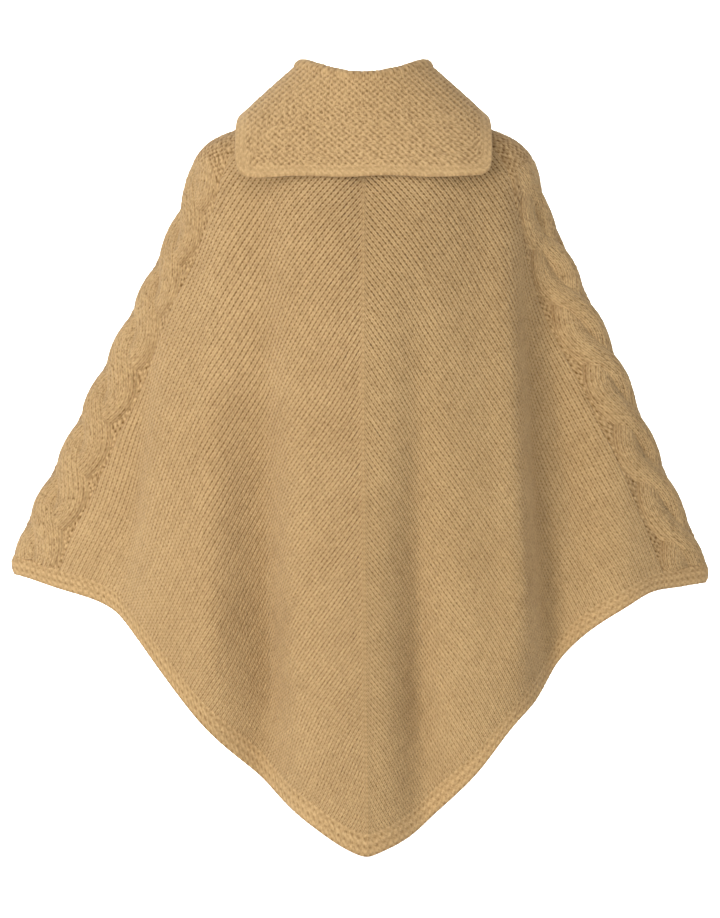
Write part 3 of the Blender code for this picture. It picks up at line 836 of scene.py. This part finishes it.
def rounded_ring(half_width, half_depth, squareness, shares):
    """Points of a rounded plan, at shares of the way round from the centre back, with
    the same share between each centre and side."""
    angles = np.linspace(-np.pi, np.pi, RING_POINTS)
    sine, cosine = np.sin(angles), np.cos(angles)
    power = 2 / squareness
    x = half_width * np.sign(sine) * np.abs(sine) ** power
    y = -half_depth * np.sign(cosine) * np.abs(cosine) ** power
    run = np.concatenate([[0], np.cumsum(np.hypot(np.diff(x), np.diff(y)))])
    quarters = np.interp(np.arange(-2, 3) * np.pi / 2, angles, run)
    at = np.interp(shares, np.arange(5) / 4, quarters)
    return np.interp(at, run, x), np.interp(at, run, y)


def collar_height(x, y):
    """Height of the part turned down, above any place in plan."""
    low, high = (np.full(np.shape(x), height) for height in COLLAR_HEIGHTS)
    for _ in range(COLLAR_HALVINGS):
        middle = (low + high) / 2
        half_width = COLLAR_EDGE_HALF_WIDTH + COLLAR_SPREAD * (COLLAR_EDGE_SIDE - middle)
        half_depth = COLLAR_EDGE_DEPTH + COLLAR_FRONT_SPREAD * (COLLAR_EDGE_HEIGHT - middle)
        across, along = np.abs(x / half_width), np.abs(y / half_depth)
        outside = across ** COLLAR_ROUND + along ** COLLAR_ROUND > 1
        low, high = np.where(outside, low, middle), np.where(outside, middle, high)
    return low


def collar_rings(shares):
    """Middle of the collar's cloth as rings, from the neck seam up its stand, over the
    fold and down to its edge."""
    ring_x, ring_y = rounded_ring(1, 1, 2, shares)
    up = np.array([0.0, 0.0, 1.0])
    outward = np.stack([ring_x, ring_y, 0 * ring_x], axis=1)
    angles = np.arctan2(ring_x, -ring_y)
    seam = body_surface(0.0, angles) + body_normal(0.0, angles) * WALL / 2 + SEAM_GAP * up
    fold_x, fold_y = rounded_ring(COLLAR_FOLD_HALF_WIDTH, COLLAR_FOLD_DEPTH, 2, shares)
    middle = np.where(ring_y <= 0, COLLAR_FOLD_FRONT, COLLAR_FOLD_BACK)
    fold_z = middle + (COLLAR_FOLD_SIDE - middle) * ring_x ** 2
    bend = np.stack([fold_x, fold_y, fold_z - COLLAR_FOLD_RADIUS], axis=1)
    top = bend - outward * COLLAR_FOLD_RADIUS
    rings = [
        seam + (top - seam) * part
        for part in np.linspace(0, 1, COLLAR_STAND_ROWS + 1)[:-1]
    ]
    for turn in np.linspace(np.pi, 0, COLLAR_FOLD_ROWS + 1)[:-1]:
        rings.append(bend + COLLAR_FOLD_RADIUS * (np.cos(turn) * outward + np.sin(turn) * up))

    edge_x, edge_y = rounded_ring(
        COLLAR_EDGE_HALF_WIDTH, COLLAR_EDGE_DEPTH, COLLAR_SQUARENESS, shares)
    spread = COLLAR_SPREAD * (COLLAR_EDGE_SIDE - COLLAR_EDGE_HEIGHT)
    across = np.abs(edge_x) / (COLLAR_EDGE_HALF_WIDTH + spread)
    edge_y = edge_y * (1 - across ** COLLAR_ROUND) ** (1 / COLLAR_ROUND)
    tuck = COLLAR_TUCK * np.clip(1 - np.abs(edge_y) / COLLAR_TUCK_REACH, 0, 1) ** 2
    edge_x = edge_x - tuck * np.sign(edge_x)
    hang = EDGE_WAVE * np.sin(edge_x * EDGE_WAVE_RATE + edge_y) + EDGE_TILT * edge_x
    hang = hang * (edge_y / COLLAR_EDGE_DEPTH) ** 2
    start = bend + COLLAR_FOLD_RADIUS * outward
    rise = start[:, 2] - collar_height(start[:, 0], start[:, 1])
    for part in np.linspace(0, 1, COLLAR_DOWN_ROWS + 1):
        x = start[:, 0] + (edge_x - start[:, 0]) * part
        y = start[:, 1] + (edge_y - start[:, 1]) * part
        z = collar_height(x, y) + rise * (1 - part) + hang * part
        rings.append(np.stack([x, y, z], axis=1))
    return np.array(rings)


def collar_relief(rings, shares):
    """Relief and height over the collar, and its stitch coordinates. Most of it is
    moss stitch, with a lattice square to the front and back, and one square to the
    shoulders; its border is ribs along the edge, with a rolled rim."""
    girth = np.linalg.norm(np.roll(rings, -1, axis=1) - rings, axis=2).sum(axis=1)[:, None]
    steps = np.linalg.norm(np.diff(rings[::-1], axis=0), axis=2)
    from_edge = np.concatenate([0 * steps[:1], np.cumsum(steps, axis=0)])[::-1]
    x, y, z = np.moveaxis(rings, -1, 0)
    turned_down = from_edge < from_edge[COLLAR_STAND_ROWS + COLLAR_FOLD_ROWS // 2]
    forward = (np.abs(y) - SIDE_LATTICE_HALF) / SIDE_LATTICE_BLEND
    square_on = smooth_step(forward + 0.5) * turned_down
    moss = moss_relief(x, z * FRONT_SLOPE) * square_on
    moss = moss + moss_relief(y, from_edge) * (1 - square_on)
    around = shares * girth
    groove = 0.5 - 0.5 * np.cos(2 * np.pi * (from_edge - COLLAR_RIB_FIRST) / COLLAR_RIB_SPACING)
    beads = 1 - RIB_BEADS + RIB_BEADS * np.cos(2 * np.pi * around / STITCH)
    ribs = 1 - RIB_GROOVE * groove ** RIB_GROOVE_POWER * beads
    ribs = ribs * (RIB_EVENNESS + (1 - RIB_EVENNESS) * moss)
    width = COLLAR_BORDER + (COLLAR_SIDE_BORDER - COLLAR_BORDER) * smooth_step(
        (COLLAR_EDGE_LEVEL_FROM - np.abs(y)) / COLLAR_BORDER + 0.5)
    border = smooth_step((width - from_edge) / MOSS_CELL + 0.5)
    relief = moss + (ribs - moss) * border
    rim = np.clip(1 - (from_edge / COLLAR_RIM - 1) ** 2, 0, 1)
    heights = MOSS_HEIGHT * (moss - 0.5) * (1 - border) + COLLAR_RIM_HEIGHT * rim
    heights = heights + COLLAR_RIB_HEIGHT * (ribs - 0.5) * border
    return relief, heights, np.stack([around / STITCH, -from_edge / STITCH], axis=2)


def ring_faces(ids):
    beside = np.roll(ids, -1, axis=1)
    return np.stack([ids[:-1], ids[1:], beside[1:], beside[:-1]], axis=2).reshape(-1, 4).tolist()


def build_collar(name, materials):
    """The collar: its stand, its fold and the part turned down, with a coarser back."""
    shares = np.arange(COLLAR_SPOKES) / COLLAR_SPOKES
    rings = collar_rings(shares)
    along = np.concatenate([rings[1:], rings[-1:]]) - np.concatenate([rings[:1], rings[:-1]])
    around = np.roll(rings, -1, axis=1) - np.roll(rings, 1, axis=1)
    normals = np.cross(along, around)
    normals = normals / np.linalg.norm(normals, axis=2, keepdims=True)
    relief, heights, uv = collar_relief(rings, shares)
    shown = rings + normals * (WALL / 2 + heights)[:, :, None]
    down = along[-1] / np.linalg.norm(along[-1], axis=1, keepdims=True)
    for past, share in RIM_ROWS:
        height = (WALL / 2 + heights[-1]) * (2 * share - 1)
        row = rings[-1] + down * past + normals[-1] * height[:, None]
        shown = np.concatenate([shown, row[None]])
    hidden = (rings - normals * WALL / 2)[::INSIDE_STEP, ::INSIDE_STEP]

    outer_ids = np.arange(shown.shape[0] * shown.shape[1]).reshape(shown.shape[:2])
    inner_ids = outer_ids.size + np.arange(hidden.shape[0] * hidden.shape[1])
    inner_ids = inner_ids.reshape(hidden.shape[:2])
    faces = ring_faces(outer_ids) + [face[::-1] for face in ring_faces(inner_ids)]
    kinds = [0] * outer_ids[1:].size + [2] * inner_ids[1:].size
    for edge in (0, -1):
        outer_row = np.append(outer_ids[edge], outer_ids[edge][0])
        inner_row = np.append(inner_ids[edge], inner_ids[edge][0])
        for c in range(len(inner_row) - 1):
            rim = list(outer_row[c * INSIDE_STEP:(c + 1) * INSIDE_STEP + 1])
            rim = rim + [inner_row[c + 1], inner_row[c]]
            faces.append(rim[::-1] if edge else rim)
            kinds.append(1)
    lines = [*range(len(rings)), *[len(rings) - 1] * len(RIM_ROWS)]
    points = np.concatenate([shown.reshape(-1, 3), hidden.reshape(-1, 3)])
    inside_uv = uv[::INSIDE_STEP, ::INSIDE_STEP].reshape(-1, 2)
    uv = np.concatenate([uv[lines].reshape(-1, 2), inside_uv])
    # The back's relief is 0, so it takes the painted gap shade all over
    relief = np.concatenate([relief[lines].ravel(), np.zeros(inner_ids.size)])
    return add_piece(name, points, faces, uv, relief, materials, kinds)


# ---- yarn


def new_group(name, inputs, outputs):
    """A shader node group with named sockets, and its input and output nodes."""
    group = bpy.data.node_groups.new(name, "ShaderNodeTree")
    for label, kind in inputs:
        group.interface.new_socket(label, in_out="INPUT", socket_type=kind)
    for label, kind in outputs:
        group.interface.new_socket(label, in_out="OUTPUT", socket_type=kind)
    return group, group.nodes.new("NodeGroupInput").outputs, group.nodes.new("NodeGroupOutput")


def maths(tree, operation, *operands, clamp=False):
    """A Math node; each operand is a socket or a number."""
    node = tree.nodes.new("ShaderNodeMath")
    node.operation = operation
    node.use_clamp = clamp
    for socket, value in zip(node.inputs, operands):
        if isinstance(value, bpy.types.NodeSocket):
            tree.links.new(value, socket)
        else:
            socket.default_value = value
    return node.outputs[0]


def mix_colours(tree, factor, first, second):
    """A colour mix; each colour is a socket or an RGB tuple."""
    node = tree.nodes.new("ShaderNodeMix")
    node.data_type = "RGBA"
    tree.links.new(factor, node.inputs["Factor"])
    for label, value in (("A", first), ("B", second)):
        socket = next(s for s in node.inputs if s.name == label and s.type == "RGBA")
        if isinstance(value, tuple):
            socket.default_value = (*value, 1.0)
        else:
            tree.links.new(value, socket)
    return next(s for s in node.outputs if s.type == "RGBA")


def noise(tree, place, row):
    """Noise at an object's own coordinates, from a row of NOISE_COLUMNS."""
    row = dict(zip(NOISE_COLUMNS, row))
    node = tree.nodes.new("ShaderNodeTexNoise")
    node.inputs["Scale"].default_value = row["scale"]
    node.inputs["Detail"].default_value = row["detail"]
    tree.links.new(place, node.inputs["Vector"])
    return maths(tree, "MULTIPLY_ADD", node.outputs["Fac"], row["gain"], row["offset"], clamp=True)


def pattern_group(name):
    """A group from stitch coordinates to the height of a pattern. It comes with the
    coordinates across and down, and the socket for the height."""
    group, start, end = new_group(
        name, [("Stitches", "NodeSocketVector")], [("Height", "NodeSocketFloat")])
    split = group.nodes.new("ShaderNodeSeparateXYZ")
    group.links.new(start["Stitches"], split.inputs[0])
    return group, split.outputs["X"], split.outputs["Y"], end.inputs["Height"]


def stockinette_group():
    """1 along the middle of each leg of the knitted Vs, and 0 in the gaps between them."""
    group, across, down, height = pattern_group("stockinette_legs")
    down = maths(group, "FRACT", down)
    middle = maths(group, "SUBTRACT", maths(group, "FRACT", across), 0.5)
    leg_middle = maths(group, "MULTIPLY_ADD", down, LEG_LEAN, LEG_TOP)
    off = maths(group, "SUBTRACT", maths(group, "ABSOLUTE", middle), leg_middle)
    off = maths(group, "DIVIDE", off, LEG_HALF)
    section = maths(group, "SUBTRACT", 1.0, maths(group, "MULTIPLY", off, off), clamp=True)
    along = maths(group, "SINE", maths(group, "MULTIPLY", down, np.pi))
    along = maths(group, "MULTIPLY_ADD", along, LEG_SWELL, LEG_ENDS)
    leg = maths(group, "MULTIPLY", maths(group, "SQRT", section), along)
    group.links.new(leg, height)
    return group


def purl_group():
    """The interlocked waves of reverse stockinette."""
    group, across, down, height = pattern_group("purl_waves")
    sideways = maths(group, "COSINE", maths(group, "MULTIPLY", across, 2 * np.pi))
    phase = maths(group, "MULTIPLY_ADD", down, 2 * np.pi, sideways)
    wave = maths(group, "MULTIPLY_ADD", maths(group, "COSINE", phase), 0.5, 0.5)
    group.links.new(wave, height)
    return group


def wool_group():
    """Heathered wool: its colour, with painted shade that darkens it into the gaps between
    stitches where the relief is low, and the height of its loose fibres."""
    inputs = [("Relief", "NodeSocketFloat"), ("Gap Shade", "NodeSocketFloat")]
    outputs = [("Color", "NodeSocketColor"), ("Fibres", "NodeSocketFloat")]
    group, start, end = new_group("heathered_wool_and_gap_shade", inputs, outputs)
    place = group.nodes.new("ShaderNodeTexCoord").outputs["Object"]
    colour = mix_colours(group, noise(group, place, HEATHER), YARN, YARN_PALE)
    colour = mix_colours(group, noise(group, place, DEEPENING), colour, YARN_DEEP)
    # Painted shade: where the relief is low, as in the gaps between stitches, the colour darkens
    gap_shade_share = maths(group, "SUBTRACT", 1.0, start["Relief"], clamp=True)
    gap_shade_share = maths(group, "MULTIPLY", gap_shade_share, start["Gap Shade"])
    colour = mix_colours(group, gap_shade_share, colour, YARN_GAP_SHADE)
    clumps = noise(group, place, FIBRE_CLUMPS)
    fibres = maths(group, "ADD", noise(group, place, FIBRES), clumps)
    group.links.new(colour, end.inputs["Color"])
    group.links.new(fibres, end.inputs["Fibres"])
    return group


def new_material(name, surface):
    """A material with the named values on its Principled shader, and that shader."""
    material = bpy.data.materials.new(name)
    material.use_nodes = True
    shader = material.node_tree.nodes["Principled BSDF"]
    for socket, value in surface.items():
        shader.inputs[socket].default_value = value
    return material, shader


def knit_material(name, wool, gap_shade, pattern=None):
    """Knitted wool. The mesh carries the relief of its stitches; a pattern group adds
    the finer form of each stitch from the piece's stitch coordinates. The relief also sets
    the painted shade in the gaps between stitches."""
    material, shader = new_material(name, YARN_SURFACE)
    tree = material.node_tree
    yarn = tree.nodes.new("ShaderNodeGroup")
    yarn.node_tree = wool
    yarn.inputs["Gap Shade"].default_value = gap_shade
    attribute = tree.nodes.new("ShaderNodeAttribute")
    attribute.attribute_name = "relief"
    relief = attribute.outputs["Fac"]
    height = maths(tree, "MULTIPLY", yarn.outputs["Fibres"], FIBRE_HEIGHT)
    if pattern:
        stitches = tree.nodes.new("ShaderNodeUVMap")
        stitches.uv_map = "stitches"
        stitch = tree.nodes.new("ShaderNodeGroup")
        stitch.node_tree = pattern
        tree.links.new(stitches.outputs["UV"], stitch.inputs["Stitches"])
        legs = maths(tree, "MULTIPLY", stitch.outputs["Height"], PATTERN_SHARE)
        relief = maths(tree, "MULTIPLY_ADD", relief, 1 - PATTERN_SHARE, legs)
        height = maths(tree, "MULTIPLY_ADD", stitch.outputs["Height"], STITCH_BUMP, height)
    tree.links.new(relief, yarn.inputs["Relief"])
    tree.links.new(yarn.outputs["Color"], shader.inputs["Base Color"])
    bump = tree.nodes.new("ShaderNodeBump")
    bump.inputs["Distance"].default_value = 1.0
    tree.links.new(height, bump.inputs["Height"])
    tree.links.new(bump.outputs["Normal"], shader.inputs["Normal"])
    return material


# ---- garment


def fit_out(piece, node, flat, area):
    """Everything rides on the one body, in place of its plain panel."""
    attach(piece, "root")
    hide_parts(node)


def build_garment():
    wool = wool_group()
    stockinette = knit_material("stockinette", wool, 0.95, stockinette_group())
    plain_knit = knit_material("plain_knit", wool, 0.95)
    purl_bumps = knit_material("purl_bumps", wool, 1.00)
    reverse_side = knit_material("reverse_stockinette", wool, 0.70, purl_group())
    moss_stitch = knit_material("moss_stitch", wool, 0.76)
    smooth = (stockinette, plain_knit, reverse_side)
    bumpy = (purl_bumps, plain_knit, reverse_side)
    for node, to_front in (("front", True), ("back", False)):
        for side, sign in (("left", 1), ("right", -1)):
            half = build_half_panel(f"{node}_half_{side}", sign, to_front, smooth)
            fit_out(half, node, *HALF_CUTS[node])
    for row in CABLES:
        cable = dict(zip(CABLE_COLUMNS, row))
        side = cable["side"]
        node = f"cable_panel_{side}"
        base = build_cable_base(f"cable_base_{side}", cable["sign"], bumpy)
        fit_out(base, node, *CABLE_BASE_CUT)
        for label, strand in (("a", 1), ("b", -1)):
            rope = build_strand(f"cable_strand_{side}_{label}", cable, strand, smooth)
            fit_out(rope, node, *STRAND_CUT)
    collar = build_collar("collar_knit", (moss_stitch, plain_knit, moss_stitch))
    fit_out(collar, "collar", *COLLAR_CUT)


# ---- studio


def build_floor():
    """A pale floor that curves up into a backdrop."""
    profile = [(FLOOR_FRONT, 0.0), (FLOOR_BACK, 0.0)]
    for turn in np.linspace(0, np.pi / 2, FLOOR_BEND_STEPS + 1)[1:]:
        bend = FLOOR_BEND * np.sin(turn), FLOOR_BEND * (1 - np.cos(turn))
        profile.append((FLOOR_BACK + bend[0], bend[1]))
    profile.append((FLOOR_BACK + FLOOR_BEND, BACKDROP_HEIGHT))
    sides = (-FLOOR_HALF_WIDTH, FLOOR_HALF_WIDTH)
    points = [(x, y, FLOOR_HEIGHT + z) for y, z in profile for x in sides]
    faces = [(2 * i, 2 * i + 1, 2 * i + 3, 2 * i + 2) for i in range(len(profile) - 1)]
    mesh = bpy.data.meshes.new("floor")
    mesh.from_pydata(points, [], faces)
    mesh.shade_smooth()
    mesh.materials.append(new_material("pale_floor", FLOOR_SURFACE)[0])
    add_object("floor", mesh)


def add_light(name, place, aim, size, power):
    data = bpy.data.lights.new(name, "AREA")
    data.shape = "DISK"
    data.size = size
    data.energy = power
    light = add_object(name, data)
    light.location = place
    light.rotation_euler = (Vector(aim) - Vector(place)).to_track_quat("-Z", "Y").to_euler()


def build_studio():
    scene = bpy.context.scene
    scene.view_settings.view_transform = "Standard"
    world = bpy.data.worlds.new("studio")
    world.use_nodes = True
    sky = world.node_tree.nodes["Background"]
    sky.inputs["Color"].default_value = (1.0, 1.0, 1.0, 1.0)
    sky.inputs["Strength"].default_value = WORLD_STRENGTH
    scene.world = world
    build_floor()
    for light in LIGHTS:
        add_light(*light)
    data = bpy.data.cameras.new("camera")
    data.sensor_width = SENSOR
    data.lens = SENSOR * -CAMERA_PLACE[1] / VIEW_HEIGHT
    camera = add_object("camera", data)
    camera.location = CAMERA_PLACE
    camera.rotation_euler = (np.pi / 2, 0, 0)
    scene.camera = camera


build_garment()
build_studio()
